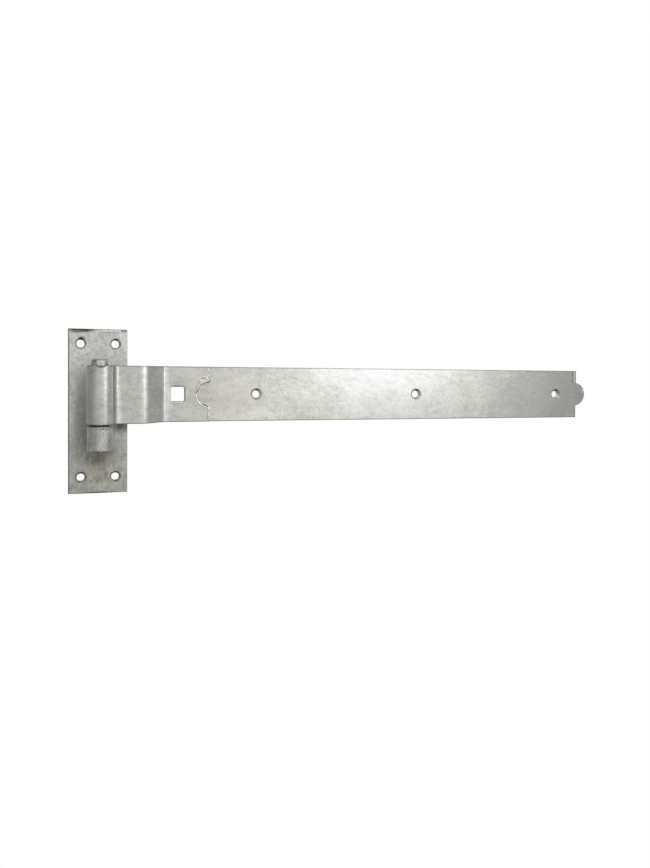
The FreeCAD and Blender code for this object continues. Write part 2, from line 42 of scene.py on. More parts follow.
# Sizes of the solids that the marks and the zinc details follow, in millimetres.
PLATE_HALF_WIDTH, PLATE_HALF_HEIGHT, PLATE_FRONT = 20.0, 57.5, -4.0
HOLE_SIDE_MARGIN, HOLE_TOP_MARGIN, HOLE_FOOT_MARGIN = 8.3, 10.4, 11.3
BAND_LOW, BAND_HIGH = -8.0, 32.0
BAND_MIDDLE = (BAND_LOW + BAND_HIGH) / 2
STRAP_FRONT = -3.0
LAYER_FRONT = -6.15
STRAP_END = 398.0
STRAP_HOLES = (114.0, 245.75, 377.5)
BOLT_HOLE_X, BOLT_HALF = 55.3, 5.25
FRONT_END = 77.9
NOTCH_RADIUS = 9.4
NOTCH_CORNER = 1.5
BOSS_RADIUS = 8.3
PIN_AXIS_Y = -25.25
HOLE_X = PLATE_HALF_WIDTH - HOLE_SIDE_MARGIN
PLATE_PLACES = tuple((side * HOLE_X, level) for side in (-1, 1) for level in
                     (HOLE_FOOT_MARGIN - PLATE_HALF_HEIGHT, PLATE_HALF_HEIGHT - HOLE_TOP_MARGIN))
UPPER_LEFT_HOLE = PLATE_PLACES[1:2]
STRAP_PLACES = tuple((x, BAND_MIDDLE) for x in STRAP_HOLES)

# Colour sockets of a Mix node.
MIX_FACTOR, MIX_FIRST, MIX_SECOND, MIX_RESULT = 0, 6, 7, 2

# Zinc skin: size and seed of its noises, and their shares in the tone and in the relief.
PATCH_SIZE, MOTTLE_SIZE, GRAIN_SIZE = 22 * MM, 4.4 * MM, 1.3 * MM
PATCH_SHARE, MOTTLE_SHARE, GRAIN_SHARE = 0.30, 0.36, 0.34
MOTTLE_HEIGHT, GRAIN_HEIGHT = 0.70, 0.30
MOTTLE_SEED, GRAIN_SEED, SMEAR_SEED, STAIN_SEED = 3.1, 7.7, 11.3, 15.9
SMEAR_SIZE, STAIN_SIZE = 4.0 * MM, 7.0 * MM
# Ranges of noise over which an effect comes in.
PATCH_RANGE, NOISE_RANGE, SPECK_RANGE = (0.35, 0.65), (0.32, 0.68), (0.28, 0.42)
MARK_RANGE, RIM_RANGE, ROUGH_RANGE = (0.22, 0.55), (0.25, 0.6), (0.25, 0.75)
SMEAR_RANGE, STAIN_RANGE = (0.34, 0.66), (0.42, 0.58)
# Colours laid over the tone, and how strongly. The colour and sheen for faces along the cuts are
# partly painted shade in the hole walls; the rim colour is painted shade along the edges.
WHITE = (1, 1, 1, 1)
SPECK_COLOUR, SPECK_STRENGTH = (0.22, 0.225, 0.21, 1), 0.50
CUT_AND_SHADE_COLOUR, CUT_AND_SHADE_STRENGTH = (0.09, 0.092, 0.085, 1), 0.80
CUT_AND_SHADE_SHEEN = (0.12, 0.12, 0.12, 1)
COOL_STAIN, WARM_STAIN = (0.98, 1.0, 0.90, 1), (1.0, 0.975, 0.94, 1)
EDGE_SHADE_COLOUR = (0.07, 0.071, 0.066, 1)
# Where marks, faces along the cuts (partly painted shade), grime and the painted shade along
# edges begin and end.
MARK_HEART = 0.15
SQUARE_ON = (0.72, 0.95)
FLAT_ALL_OVER, NEVER_FLAT = -1000.0, 1000.0
GRIME_LEVELS, GRIME_ABOVE = (-38 * MM, -14 * MM), 0.2
EDGE_WIDTH, EDGE_RANGE, EDGE_LEAST = 1.1 * MM, (0.72, 0.985), 0.5
# Relief and gloss.
SOFT_EDGE = 0.3 * MM
BUMP_STRENGTH, BUMP_DEPTH = 0.35, 0.35 * MM
TONE_GLOSS = -0.08
GRAIN_GLOSS = (-0.02, 0.10)
METALLIC = 0.85


def node(tree, kind, **settings):
    """A shader node with its properties and, by name in inputs, its sockets."""
    inputs = settings.pop("inputs", {})
    made = tree.nodes.new(kind)
    for name, value in settings.items():
        setattr(made, name, value)
    for name, value in inputs.items():
        feed(tree, made.inputs[name], value)
    return made


def feed(tree, socket, value):
    """Links an output socket, or sets a plain value."""
    if isinstance(value, bpy.types.NodeSocket):
        tree.links.new(value, socket)
    else:
        socket.default_value = value


def math_node(tree, operation, first, second=0.0):
    made = node(tree, "ShaderNodeMath", operation=operation)
    feed(tree, made.inputs[0], first)
    feed(tree, made.inputs[1], second)
    return made.outputs[0]


def vector_node(tree, operation, first, second=(0, 0, 0)):
    made = node(tree, "ShaderNodeVectorMath", operation=operation)
    feed(tree, made.inputs[0], first)
    feed(tree, made.inputs[1], second)
    return made


def scaled(tree, vector, factor):
    """A vector or colour times one value."""
    made = node(tree, "ShaderNodeVectorMath", operation="SCALE", inputs={"Scale": factor})
    feed(tree, made.inputs[0], vector)
    return made.outputs[0]


def axes(tree, vector):
    """The three parts of a vector, by name."""
    return node(tree, "ShaderNodeSeparateXYZ", inputs={"Vector": vector}).outputs


def spread(tree, value, low, high, to_low=0.0, to_high=1.0):
    """Eases from to_low to to_high while the value goes from low to high."""
    made = node(tree, "ShaderNodeMapRange", interpolation_type="SMOOTHSTEP", inputs={
        "Value": value, "From Min": low, "From Max": high, "To Min": to_low,
        "To Max": to_high})
    return made.outputs[0]


def blend(tree, factor, first, second):
    """The first colour, giving way to the second as the factor rises."""
    made = node(tree, "ShaderNodeMix", data_type="RGBA")
    feed(tree, made.inputs[MIX_FACTOR], factor)
    feed(tree, made.inputs[MIX_FIRST], first)
    feed(tree, made.inputs[MIX_SECOND], second)
    return made.outputs[MIX_RESULT]


def weighted(tree, *pairs):
    """Sum of values, each times its weight."""
    total = None
    for value, weight in pairs:
        share = math_node(tree, "MULTIPLY", value, weight)
        total = share if total is None else math_node(tree, "ADD", total, share)
    return total


def largest(tree, first, *others):
    """The largest of several values."""
    for other in others:
        first = math_node(tree, "MAXIMUM", first, other)
    return first


def noise(tree, coords, size, detail, roughness, seed, stretch=(1, 1, 1)):
    """Noise whose blobs are about size metres across."""
    if stretch != (1, 1, 1):
        coords = vector_node(tree, "MULTIPLY", coords, stretch).outputs[0]
    made = node(tree, "ShaderNodeTexNoise", noise_dimensions="4D", inputs={
        "Vector": coords, "W": seed, "Scale": 1.0 / size, "Detail": detail,
        "Roughness": roughness})
    return made.outputs["Fac"]


def new_material(name):
    """An empty material and its node tree."""
    material = bpy.data.materials.new(name)
    material.use_nodes = True
    material.node_tree.nodes.clear()
    return material, material.node_tree


def link_object(name, data):
    """A new object in the scene."""
    made = bpy.data.objects.new(name, data)
    bpy.context.scene.collection.objects.link(made)
    return made


def spot(tree, place, centre, half_size):
    """1 in the heart of an ellipsoid given in millimetres, fading to 0 at its skin."""
    away = vector_node(tree, "SUBTRACT", place, tuple(v * MM for v in centre)).outputs[0]
    ratio = vector_node(tree, "DIVIDE", away, tuple(v * MM for v in half_size)).outputs[0]
    reach = vector_node(tree, "LENGTH", ratio).outputs["Value"]
    return spread(tree, reach, MARK_HEART, 1.0, 1.0, 0.0)


def cut_and_shaded_faces(tree, place, normal, flat_from):
    """1 on faces that look along Z, and along X beyond flat_from millimetres: the sheared faces
    and hole walls, darkened partly as painted shade.
    """
    facing = axes(tree, normal)
    level = spread(tree, math_node(tree, "ABSOLUTE", facing["Z"]), *SQUARE_ON)
    upright = spread(tree, math_node(tree, "ABSOLUTE", facing["X"]), *SQUARE_ON)
    beyond = spread(tree, axes(tree, place)["X"], (flat_from - 1) * MM, (flat_from + 1) * MM)
    return math_node(tree, "MAXIMUM", level, math_node(tree, "MULTIPLY", upright, beyond))


def marked(tree, colour, place, mottle, marks):
    """Marks over a colour, broken up by the mottle."""
    broken = spread(tree, mottle, *MARK_RANGE)
    for centre, half_size, tint, strength in marks:
        mask = math_node(tree, "MULTIPLY", spot(tree, place, centre, half_size),
                         math_node(tree, "MULTIPLY", broken, strength))
        colour = blend(tree, mask, colour, (*tint, 1))
    return colour


def grimy(tree, colour, place, grime, seed):
    """Lighter and darker smears in cool and warm stains, strongest low down."""
    smears = noise(tree, place, SMEAR_SIZE, 4.0, 0.6, seed + SMEAR_SEED, (1.2, 1.0, 0.8))
    stains = noise(tree, place, STAIN_SIZE, 2.0, 0.5, seed + STAIN_SEED)
    stain = blend(tree, spread(tree, stains, *STAIN_RANGE), COOL_STAIN, WARM_STAIN)
    smeared = scaled(tree, stain, spread(tree, smears, *SMEAR_RANGE, 1 - grime, 1 + grime))
    low_down = spread(tree, axes(tree, place)["Z"], *GRIME_LEVELS, 1.0, GRIME_ABOVE)
    film = blend(tree, low_down, WHITE, smeared)
    return vector_node(tree, "MULTIPLY", colour, film).outputs[0]


def painted_edge_shade(tree, mottle, edge_shade_depth):
    """How far the painted shade along an edge and in its corners shows."""
    rounded = node(tree, "ShaderNodeBevel", samples=8, inputs={"Radius": EDGE_WIDTH}).outputs[0]
    surface = node(tree, "ShaderNodeNewGeometry").outputs["Normal"]
    agree = vector_node(tree, "DOT_PRODUCT", rounded, surface).outputs["Value"]
    return math_node(tree, "MULTIPLY", spread(tree, agree, *EDGE_RANGE, edge_shade_depth, 0.0),
                     spread(tree, mottle, *RIM_RANGE, EDGE_LEAST, 1.0))


def galvanised(name, pale, dark, seed, marks=(), rough=0.40, streak=(1, 1, 1),
               flat_from=FLAT_ALL_OVER, relief=0.02, grime=0.0, edge_shade_depth=0.75):
    """Hot-dip zinc: soft patches, close mottling, fine grain, dark faces along the cuts that are
    partly painted shade in the hole walls, marks, and painted shade along every edge.

    Faces that look along X are darkened only beyond flat_from millimetres, where the piece
    is flat. Relief is how far mottle and grain still show through the marks, and grime how
    far smears darken and lighten the lower end. The last argument is how dark the painted shade
    along an edge gets.
    """
    material, tree = new_material(name)
    coords = node(tree, "ShaderNodeTexCoord").outputs
    place = coords["Object"]
    patches = noise(tree, place, PATCH_SIZE, 3.0, 0.5, seed)
    mottle = noise(tree, place, MOTTLE_SIZE, 5.0, 0.66, seed + MOTTLE_SEED, streak)
    grain = noise(tree, place, GRAIN_SIZE, 4.0, 0.65, seed + GRAIN_SEED)

    tone = weighted(tree, (spread(tree, patches, *PATCH_RANGE), PATCH_SHARE),
                    (spread(tree, mottle, *NOISE_RANGE), MOTTLE_SHARE),
                    (spread(tree, grain, *NOISE_RANGE), GRAIN_SHARE))
    colour = blend(tree, tone, (*dark, 1), (*pale, 1))
    specks = spread(tree, grain, *SPECK_RANGE, SPECK_STRENGTH, 0.0)
    colour = blend(tree, specks, colour, SPECK_COLOUR)
    cut_and_shade = cut_and_shaded_faces(tree, place, coords["Normal"], flat_from)
    colour = blend(tree, math_node(tree, "MULTIPLY", cut_and_shade, CUT_AND_SHADE_STRENGTH), colour, CUT_AND_SHADE_COLOUR)
    colour = marked(tree, colour, place, mottle, marks)
    through = math_node(tree, "MULTIPLY",
                        spread(tree, grain, *NOISE_RANGE, 1 - relief, 1 + relief),
                        spread(tree, mottle, *NOISE_RANGE, 1 - relief, 1 + relief))
    colour = scaled(tree, colour, through)
    if grime:
        colour = grimy(tree, colour, place, grime, seed)
    colour = blend(tree, painted_edge_shade(tree, mottle, edge_shade_depth), colour, EDGE_SHADE_COLOUR)

    roughness = math_node(tree, "ADD", math_node(tree, "MULTIPLY", tone, TONE_GLOSS),
                          spread(tree, grain, *ROUGH_RANGE,
                                 *(rough + change for change in GRAIN_GLOSS)))
    height = weighted(tree, (mottle, MOTTLE_HEIGHT), (grain, GRAIN_HEIGHT))
    soft_edge = node(tree, "ShaderNodeBevel", samples=6, inputs={"Radius": SOFT_EDGE})
    bump = node(tree, "ShaderNodeBump", inputs={
        "Strength": BUMP_STRENGTH, "Distance": BUMP_DEPTH, "Height": height,
        "Normal": soft_edge.outputs[0]})
    shader = node(tree, "ShaderNodeBsdfPrincipled", inputs={
        "Base Color": colour, "Metallic": METALLIC, "Roughness": roughness,
        "Specular Tint": blend(tree, cut_and_shade, WHITE, CUT_AND_SHADE_SHEEN), "Normal": bump.outputs[0]})
    node(tree, "ShaderNodeOutputMaterial", inputs={"Surface": shader.outputs[0]})
    return material


def on_each(places, front, shift, half_size, tint, strength):
    """The same mark beside each of the holes in one front."""
    return tuple(((x + shift[0], front + shift[1], z + shift[2]), half_size, tint, strength)
                 for x, z in places)


# Marks: centre and half size in millimetres, tint and strength.
# Painted shade in the holes' mouths, and painted highlight on their lower right walls.
HOLE_SHADE = (0.09, 0.09, 0.08)
HOLE_WALL_HIGHLIGHT = (1.0, 1.0, 0.98)
PLATE_MARKS = (
    # darker ground round the boss, painted shade with a cool cast left of the eye, a smudge, and
    # a brownish painted shadow below the boss
    ((-2, PLATE_FRONT, -26), (27, 6, 27), (0.28, 0.28, 0.24), 0.75),
    ((-11.4, PLATE_FRONT, -2), (8.4, 6, 44), (0.165, 0.19, 0.19), 0.6),
    ((-5.5, PLATE_FRONT, -33), (5, 5, 6), (0.16, 0.16, 0.14), 0.8),
    ((1.0, PLATE_FRONT, -32.5), (6.4, 5, 8), (0.13, 0.115, 0.075), 1.1),
    ((6.5, PLATE_FRONT, -30), (8, 5, 8), (0.24, 0.23, 0.18), 0.7),
    # painted shadow with some grime under the strap, and the plate darker towards its foot
    ((16, PLATE_FRONT, -10), (10, 5, 8), (0.16, 0.16, 0.13), 1.0),
    ((0, PLATE_FRONT, -60), (70, 6, 60), (0.32, 0.32, 0.28), 0.5),
    # under the rolled top edge: black on the left, grey on the right, two fine lines between
    ((-11, PLATE_FRONT, 57), (13.5, 6, 2.7), (0.08, 0.08, 0.07), 1.5),
    ((-14, PLATE_FRONT, 55.4), (6.5, 6, 1.6), (0.26, 0.26, 0.23), 0.9),
    ((17.5, PLATE_FRONT, 56.5), (4, 6, 1.6), (0.13, 0.13, 0.12), 0.9),
    ((9, PLATE_FRONT, 55.2), (10, 6, 0.8), (0.36, 0.36, 0.33), 0.7),
    ((9, PLATE_FRONT, 56.4), (10, 6, 0.7), (0.95, 0.95, 0.92), 0.7),
    # painted shade along the left edge and the foot
    ((-PLATE_HALF_WIDTH, PLATE_FRONT, 0), (1.3, 6, 200), (0.12, 0.12, 0.11), 0.9),
    ((-1, PLATE_FRONT, -PLATE_HALF_HEIGHT), (22, 6, 1.5), (0.07, 0.07, 0.06), 1.2),
    # runs and smears on the foot: left below the boss, round the holes, along the right side
    ((-6.6, PLATE_FRONT, -31.4), (2.0, 3, 4), (0.15, 0.15, 0.14), 0.5),
    ((-3.4, PLATE_FRONT, -35.0), (1.4, 3, 4.5), (0.15, 0.15, 0.14), 0.6),
    ((-5.0, PLATE_FRONT, -33.0), (1.1, 3, 5), (0.36, 0.36, 0.33), 0.6),
    ((-2.1, PLATE_FRONT, -41.5), (5, 3, 3.6), (0.46, 0.47, 0.40), 0.9),
    ((2.6, PLATE_FRONT, -39.6), (5, 3, 3), (0.38, 0.35, 0.33), 0.7),
    ((5.6, PLATE_FRONT, -45.0), (2.8, 3, 5), (0.26, 0.265, 0.25), 0.6),
    ((0.0, PLATE_FRONT, -47.5), (4, 3, 5), (0.28, 0.28, 0.27), 0.6),
    ((8.2, PLATE_FRONT, -48.6), (1.6, 3, 2.6), (0.60, 0.60, 0.56), 0.8),
    ((10.8, PLATE_FRONT, -51.0), (4, 3, 0.9), (0.62, 0.62, 0.58), 0.8),
    ((-8.2, PLATE_FRONT, -54.2), (8, 3, 2.6), (0.44, 0.44, 0.34), 0.8),
    ((18.2, PLATE_FRONT, -50.5), (1.1, 3, 7), (0.58, 0.58, 0.55), 0.8),
    ((16.3, PLATE_FRONT, -27), (1.8, 3, 20), (0.50, 0.50, 0.47), 0.7),
    ((18.9, PLATE_FRONT, -30.6), (1.3, 3, 0.9), (0.16, 0.16, 0.15), 0.8),
)
# painted shade above the upper left hole, and in each mouth under its upper lip and on its right
PLATE_MARKS += on_each(UPPER_LEFT_HOLE, PLATE_FRONT, (0.5, 0.3, 4.0), (3.6, 2.0, 1.5),
                       HOLE_SHADE, 1.2)
PLATE_MARKS += on_each(PLATE_PLACES, PLATE_FRONT, (0.8, 1.5, 3.3), (3.6, 2.6, 1.3), HOLE_SHADE, 1.8)
PLATE_MARKS += on_each(PLATE_PLACES, PLATE_FRONT, (3.2, 1.5, 0.8), (1.6, 2.6, 3.0), HOLE_SHADE, 0.6)
HOOK_MARKS = (
    # painted shade in the gap under the eye, smudges on the boss's top, and a darker band round
    # its foot
    ((0, PIN_AXIS_Y, -8.6), (15, 15, 1.4), (0.015, 0.015, 0.015), 1.2),
    ((2, -33, -10.5), (5, 3, 1.2), (0.22, 0.22, 0.20), 0.8),
    ((0, -31, -26.1), (9, 9, 1.2), (0.16, 0.15, 0.13), 0.9),
    # painted shade on the rim and left corner of the pin's end, over its flat with painted
    # highlight
    ((-1.9, -30, 33.0), (2.8, 3, 1.5), (0.80, 0.80, 0.77), 1.2),
    ((-3.3, -29.5, 35.1), (2.6, 3, 1.4), (0.22, 0.22, 0.21), 1.1),
    ((0, PIN_AXIS_Y, 36.1), (12, 12, 0.9), (0.12, 0.12, 0.11), 1.3),
    ((0.8, -30.4, 33.4), (3.6, 1.6, 2.6), (0.51, 0.51, 0.48), 1.2),
    ((1.2, -30.4, 34.3), (2.4, 2, 0.7), (0.78, 0.78, 0.75), 1.2),
    ((3.6, -29.4, 33.0), (1.2, 2, 1.8), (0.40, 0.40, 0.38), 1.0),
)
BAND_MARKS = (
    # painted shade in the valley beside the eye and in the gap under it, a painted blue
    # reflection on its left
    ((9.8, -26.5, BAND_MIDDLE), (2.2, 4.5, 90), (0.19, 0.19, 0.18), 0.8),
    ((0, PIN_AXIS_Y, -8.2), (14, 14, 0.9), (0.03, 0.03, 0.03), 1.0),
    ((-8.4, -27, 5), (3, 5, 17), (0.46, 0.60, 0.66), 0.8),
    # a dark curve with a paler band inside it on the eye's top, in front of the pin's flat
    ((0.3, -34, 32.0), (5.0, 4, 2.2), (0.07, 0.07, 0.06), 2.4),
    ((0.4, -34, 32.2), (4.0, 4, 1.35), (0.70, 0.70, 0.67), 1.2),
    # painted shade: the strap darker toward its tip
    ((420, STRAP_FRONT, BAND_MIDDLE), (130, 9, 120), (0.38, 0.385, 0.36), 0.62),
    # painted highlights on the front of the eye, the crown of the crank and the bend beside the
    # valley
    ((-3.3, -33.4, BAND_MIDDLE), (3.0, 3, 90), (1.0, 1.0, 0.97), 0.55),
    ((30.9, -21.1, BAND_MIDDLE), (2.3, 3, 60), (1.0, 1.0, 0.98), 1.0),
    ((13.4, -22.5, 1), (2.4, 3, 24), (1.0, 1.0, 0.97), 0.7),
    # a painted shade line and a painted highlight down the foot of the crank, the highlight
    # spreading to the square hole
    ((44.6, -8.4, BAND_MIDDLE), (1.0, 1.6, 60), (0.20, 0.20, 0.19), 0.9),
    ((46.5, -7, BAND_MIDDLE), (4.0, 3, 60), (1.0, 0.99, 0.96), 0.9),
    ((49.4, -6.2, 8), (3.4, 2, 13), (0.96, 0.95, 0.91), 0.6),
    # painted shade on the upper rim, a painted highlight on the left rim, and a lighter right
    # wall of the square hole
    ((BOLT_HOLE_X, LAYER_FRONT, BAND_MIDDLE + BOLT_HALF + 0.4), (6.6, 1.5, 1.5),
     (0.12, 0.12, 0.11), 0.9),
    ((BOLT_HOLE_X - BOLT_HALF - 1.2, LAYER_FRONT, BAND_MIDDLE), (1.0, 1.5, 7.0),
     (1.0, 1.0, 0.97), 0.9),
    ((BOLT_HOLE_X + BOLT_HALF, LAYER_FRONT / 2, BAND_MIDDLE), (1.6, 6, 8.5),
     (0.90, 0.90, 0.86), 1.4),
    # warm stains round the notch and before the first hole
    ((69, -6, 20), (15, 5, 17), (0.80, 0.755, 0.66), 0.6),
    ((96, STRAP_FRONT, 14), (22, 5, 18), (0.84, 0.80, 0.72), 0.5),
    ((92, -4, 4), (30, 6, 24), (0.74, 0.715, 0.655), 0.5),
    # bright and brown streaks over the notch's upper shoulder
    ((76.6, LAYER_FRONT, 24.4), (1.6, 2, 1.8), (1.0, 0.985, 0.92), 1.2),
    ((72.6, LAYER_FRONT, 21.9), (3.4, 2, 0.9), (1.0, 0.985, 0.92), 1.2),
    ((73.6, LAYER_FRONT, 23.6), (2.8, 2, 0.7), (0.36, 0.32, 0.23), 0.9),
    ((70.4, LAYER_FRONT, 20.4), (1.8, 2, 0.7), (0.40, 0.36, 0.26), 0.8),
    ((68.6, LAYER_FRONT, 17.0), (0.9, 2, 2.4), (0.42, 0.39, 0.30), 0.6),
    # paler lower edge beyond the notch, and below the square hole
    ((112, STRAP_FRONT, -4), (48, 5, 10), (1.0, 0.985, 0.95), 0.5),
    ((62, -6, -1), (16, 3, 11), (0.82, 0.82, 0.77), 0.5),
    # evener, cooler skin in the middle of the strap, and painted shade along its top under the
    # lamp's highlight
    ((225, STRAP_FRONT, 16), (75, 6, 60), (0.685, 0.695, 0.69), 0.6),
    ((215, STRAP_FRONT, 31), (75, 3, 15), (0.60, 0.61, 0.615), 0.8),
    # painted shade along the rolled edges
    ((200, -12, BAND_HIGH), (2000, 60, 1.1), (0.24, 0.24, 0.22), 0.85),
    ((200, -12, BAND_LOW), (2000, 60, 0.9), (0.18, 0.18, 0.17), 0.9),
    # painted shade and painted highlight lines on the rounded sheared end, painted shade over
    # the nub and along its edge, and a painted highlight on the nub
    ((STRAP_END - 0.2, STRAP_FRONT, 28), (0.8, 4, 12), (0.20, 0.20, 0.19), 0.9),
    ((STRAP_END - 1.8, STRAP_FRONT, 28), (0.8, 4, 12), (0.74, 0.74, 0.71), 1.1),
    ((STRAP_END - 3.2, STRAP_FRONT, 28), (0.8, 4, 12), (0.24, 0.24, 0.23), 0.9),
    ((STRAP_END - 0.3, STRAP_FRONT, -6), (0.9, 4, 8), (0.18, 0.18, 0.17), 0.5),
    ((STRAP_END + 8.9, STRAP_FRONT, 8), (1.3, 4, 8), (0.16, 0.16, 0.15), 1.0),
    ((STRAP_END + 4, STRAP_FRONT, BAND_MIDDLE), (7, 4, 14), (0.34, 0.345, 0.325), 0.35),
    ((STRAP_END + 7.0, STRAP_FRONT, 14.6), (0.7, 3, 2.6), (1.0, 1.0, 0.98), 1.2),
)
# painted shade under the upper lip of each hole's mouth, a painted highlight on its wall low on
# the right
BAND_MARKS += on_each(STRAP_PLACES, STRAP_FRONT, (0.8, 1.5, 3.3), (3.6, 2.6, 1.3), HOLE_SHADE, 1.2)
BAND_MARKS += on_each(STRAP_PLACES, STRAP_FRONT, (2.8, 1.8, -1.3), (2.6, 2.6, 3.0),
                      HOLE_WALL_HIGHLIGHT, 1.6)

plate_finish = galvanised("galvanised_plate", (0.87, 0.875, 0.84), (0.60, 0.605, 0.58), 1.0,
                          PLATE_MARKS, streak=(1.6, 1.0, 0.8), relief=0.08, grime=0.16)
hook_finish = galvanised("galvanised_hook", (0.79, 0.80, 0.740), (0.46, 0.465, 0.42), 5.0,
                         HOOK_MARKS, flat_from=NEVER_FLAT, relief=0.06)
band_finish = galvanised("galvanised_band", (0.835, 0.83, 0.775), (0.525, 0.53, 0.495), 9.0,
                         BAND_MARKS, rough=0.38, streak=(0.8, 1.0, 1.2), flat_from=47.0)
# the beads' pale zinc is partly painted highlight
bead_and_highlight_finish = galvanised("galvanised_bead_highlight", (0.97, 0.965, 0.93), (0.84, 0.835, 0.80), 13.0,
                         rough=0.36, flat_from=NEVER_FLAT, edge_shade_depth=0.25)
# the fillet's near-black zinc is painted shade in the corner
corner_shade_finish = galvanised("galvanised_corner_shade", (0.34, 0.34, 0.32), (0.10, 0.10, 0.09), 17.0,
                        rough=0.60, flat_from=NEVER_FLAT)

FINISHES = {"back_plate": plate_finish, "hook": hook_finish, "band": band_finish}
for name, finish in FINISHES.items():
    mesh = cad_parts[name].data
    mesh.materials.clear()
    mesh.materials.append(finish)

# The room's grey light gets stronger from below to the high side, and a window adds to it.
ROOM_LOW, ROOM_HIGH = 0.29, 0.60
HIGH_SIDE = Vector((0.25, 0.0, 0.97)).normalized()
HIGH_SIDE_FROM = -0.15
WINDOW_LIGHT = 0.52
WINDOW = Vector((0.12, -1.0, 0.32)).normalized()
WINDOW_FROM = 0.70
MIRRORED_GROUND = (0.80, 0.88)


def light_room():
    """White ground for whatever sees the background, and plain grey light for the rest."""
    world = bpy.data.worlds.new("studio")
    world.use_nodes = True
    bpy.context.scene.world = world
    sky = world.node_tree
    sky.nodes.clear()
    rays = node(sky, "ShaderNodeLightPath").outputs
    facing = node(sky, "ShaderNodeTexCoord").outputs["Generated"]
    mirrored = math_node(sky, "MULTIPLY", rays["Is Glossy Ray"],
                         spread(sky, axes(sky, facing)["Y"], *MIRRORED_GROUND))
    seen = largest(sky, rays["Is Camera Ray"], rays["Is Transmission Ray"], mirrored)
    above = vector_node(sky, "DOT_PRODUCT", facing, HIGH_SIDE).outputs["Value"]
    window = vector_node(sky, "DOT_PRODUCT", facing, WINDOW).outputs["Value"]
    room = math_node(sky, "ADD",
                     spread(sky, above, HIGH_SIDE_FROM, 1.0, ROOM_LOW, ROOM_HIGH),
                     spread(sky, window, WINDOW_FROM, 1.0, 0.0, WINDOW_LIGHT))
    strength = node(sky, "ShaderNodeMapRange", inputs={
        "Value": seen, "To Min": room, "To Max": 1.0}).outputs[0]
    ground = node(sky, "ShaderNodeBackground", inputs={"Color": WHITE, "Strength": strength})
    node(sky, "ShaderNodeOutputWorld", inputs={"Surface": ground.outputs[0]})


# Round floor, far under the hinge, white to the camera but still taking shadow.
FLOOR_DROP = 1.6
FLOOR_RADIUS = 0.45
FLOOR_MIDDLE_X = 0.19
FLOOR_SIDES = 96
FLOOR_GLOW = 0.75
FLOOR_GREY = (0.85, 0.85, 0.85, 1)


def make_floor():
    """A disc that glows white for what looks at it, and is paper under the light."""
    rim = [(FLOOR_RADIUS * math.cos(math.tau * n / FLOOR_SIDES) + FLOOR_MIDDLE_X,
            FLOOR_RADIUS * math.sin(math.tau * n / FLOOR_SIDES), -FLOOR_DROP)
           for n in range(FLOOR_SIDES)]
    floor_mesh = bpy.data.meshes.new("floor")
    floor_mesh.from_pydata(rim, [], [tuple(range(FLOOR_SIDES))])
    floor = link_object("floor", floor_mesh)
    material, tree = new_material("floor_white")
    rays = node(tree, "ShaderNodeLightPath").outputs
    seen = largest(tree, rays["Is Camera Ray"], rays["Is Glossy Ray"],
                   rays["Is Transmission Ray"])
    glow = node(tree, "ShaderNodeEmission", inputs={
        "Strength": math_node(tree, "MULTIPLY", seen, FLOOR_GLOW)})
    paper = node(tree, "ShaderNodeBsdfDiffuse", inputs={"Color": FLOOR_GREY})
    both = node(tree, "ShaderNodeAddShader")
    feed(tree, both.inputs[0], glow.outputs[0])
    feed(tree, both.inputs[1], paper.outputs[0])
    node(tree, "ShaderNodeOutputMaterial", inputs={"Surface": both.outputs[0]})
    floor_mesh.materials.append(material)


# One soft lamp on the right, in front of the strap and a little above it.
LAMP_PLACE = Vector((0.38, -0.3835, 0.134))
LAMP_AIM = Vector((0.15, 0.0, 0.01))
LAMP_SIZE = 0.16
LAMP_WATTS = 0.48


def make_lamp():
    data = bpy.data.lights.new("lamp_right", "AREA")
    data.shape = "DISK"
    data.size = LAMP_SIZE
    data.energy = LAMP_WATTS
    lamp = link_object("lamp_right", data)
    lamp.location = LAMP_PLACE
    lamp.rotation_euler = (LAMP_AIM - LAMP_PLACE).to_track_quat("-Z", "Y").to_euler()


# Zinc left by the dip: a ridge and a fillet along the notched end, a burr under the
# square hole, and drops of dross. All sizes are in millimetres.
BEAD_STEP = 0.5
RING_POINTS = 10
RING_TURNS = [math.tau * k / RING_POINTS for k in range(RING_POINTS)]
RIDGE_RADIUS = 0.62
RIDGE_INSET = 0.36
RIDGE_DEPTH = 0.1
RIDGE_END_GAP = 0.2
RIDGE_RISE, RIDGE_FOOT_RISE = 0.6, 0.4
RIDGE_SHOULDER_SWELL, RIDGE_FOOT_SWELL = 1.6, 1.35
FILLET_WIDTH, FILLET_HEIGHT = 0.8, 1.4
FILLET_SEAT = 0.2
FILLET_SHOULDER_SWELL = 1.3
UPPER_SIDE_Z = -0.2
BURR_WIDTH, BURR_RISE = 0.62, 0.28
BURR_END_GAP = 0.9
BURR_DROP = 0.8
BURR_TIP, BURR_TAPER = 0.3, 0.35
# Ripple of each bead: length, least and most. The slice and the shift pick its pattern.
RIDGE_RIPPLE, FILLET_RIPPLE, BURR_RIPPLE = (2.4, 0.75, 1.2), (3.0, 0.6, 1.4), (2.0, 0.8, 1.15)
RIPPLE_SLICE, FILLET_SHIFT = 3.7, 40
DROP_TURNS, DROP_LEVELS = 12, 6
DROP_LUMPS, DROP_LUMP_RATE = 0.3, 1.3
DROP_SEED_STEP = 5.3
# Scattered dross: range of size, range of length to size, rise to size, and the low corner
# and the span of its field.
DROSS_SIZE, DROSS_STRETCH, DROSS_RISE = (0.10, 0.22), (0.8, 1.6), 0.3
STRAP_FIELD = ((82, -6), (310, 36))
PLATE_FIELD = ((-18, -55), (36, 110))
CLEAR_OF_HOLES = 7.0


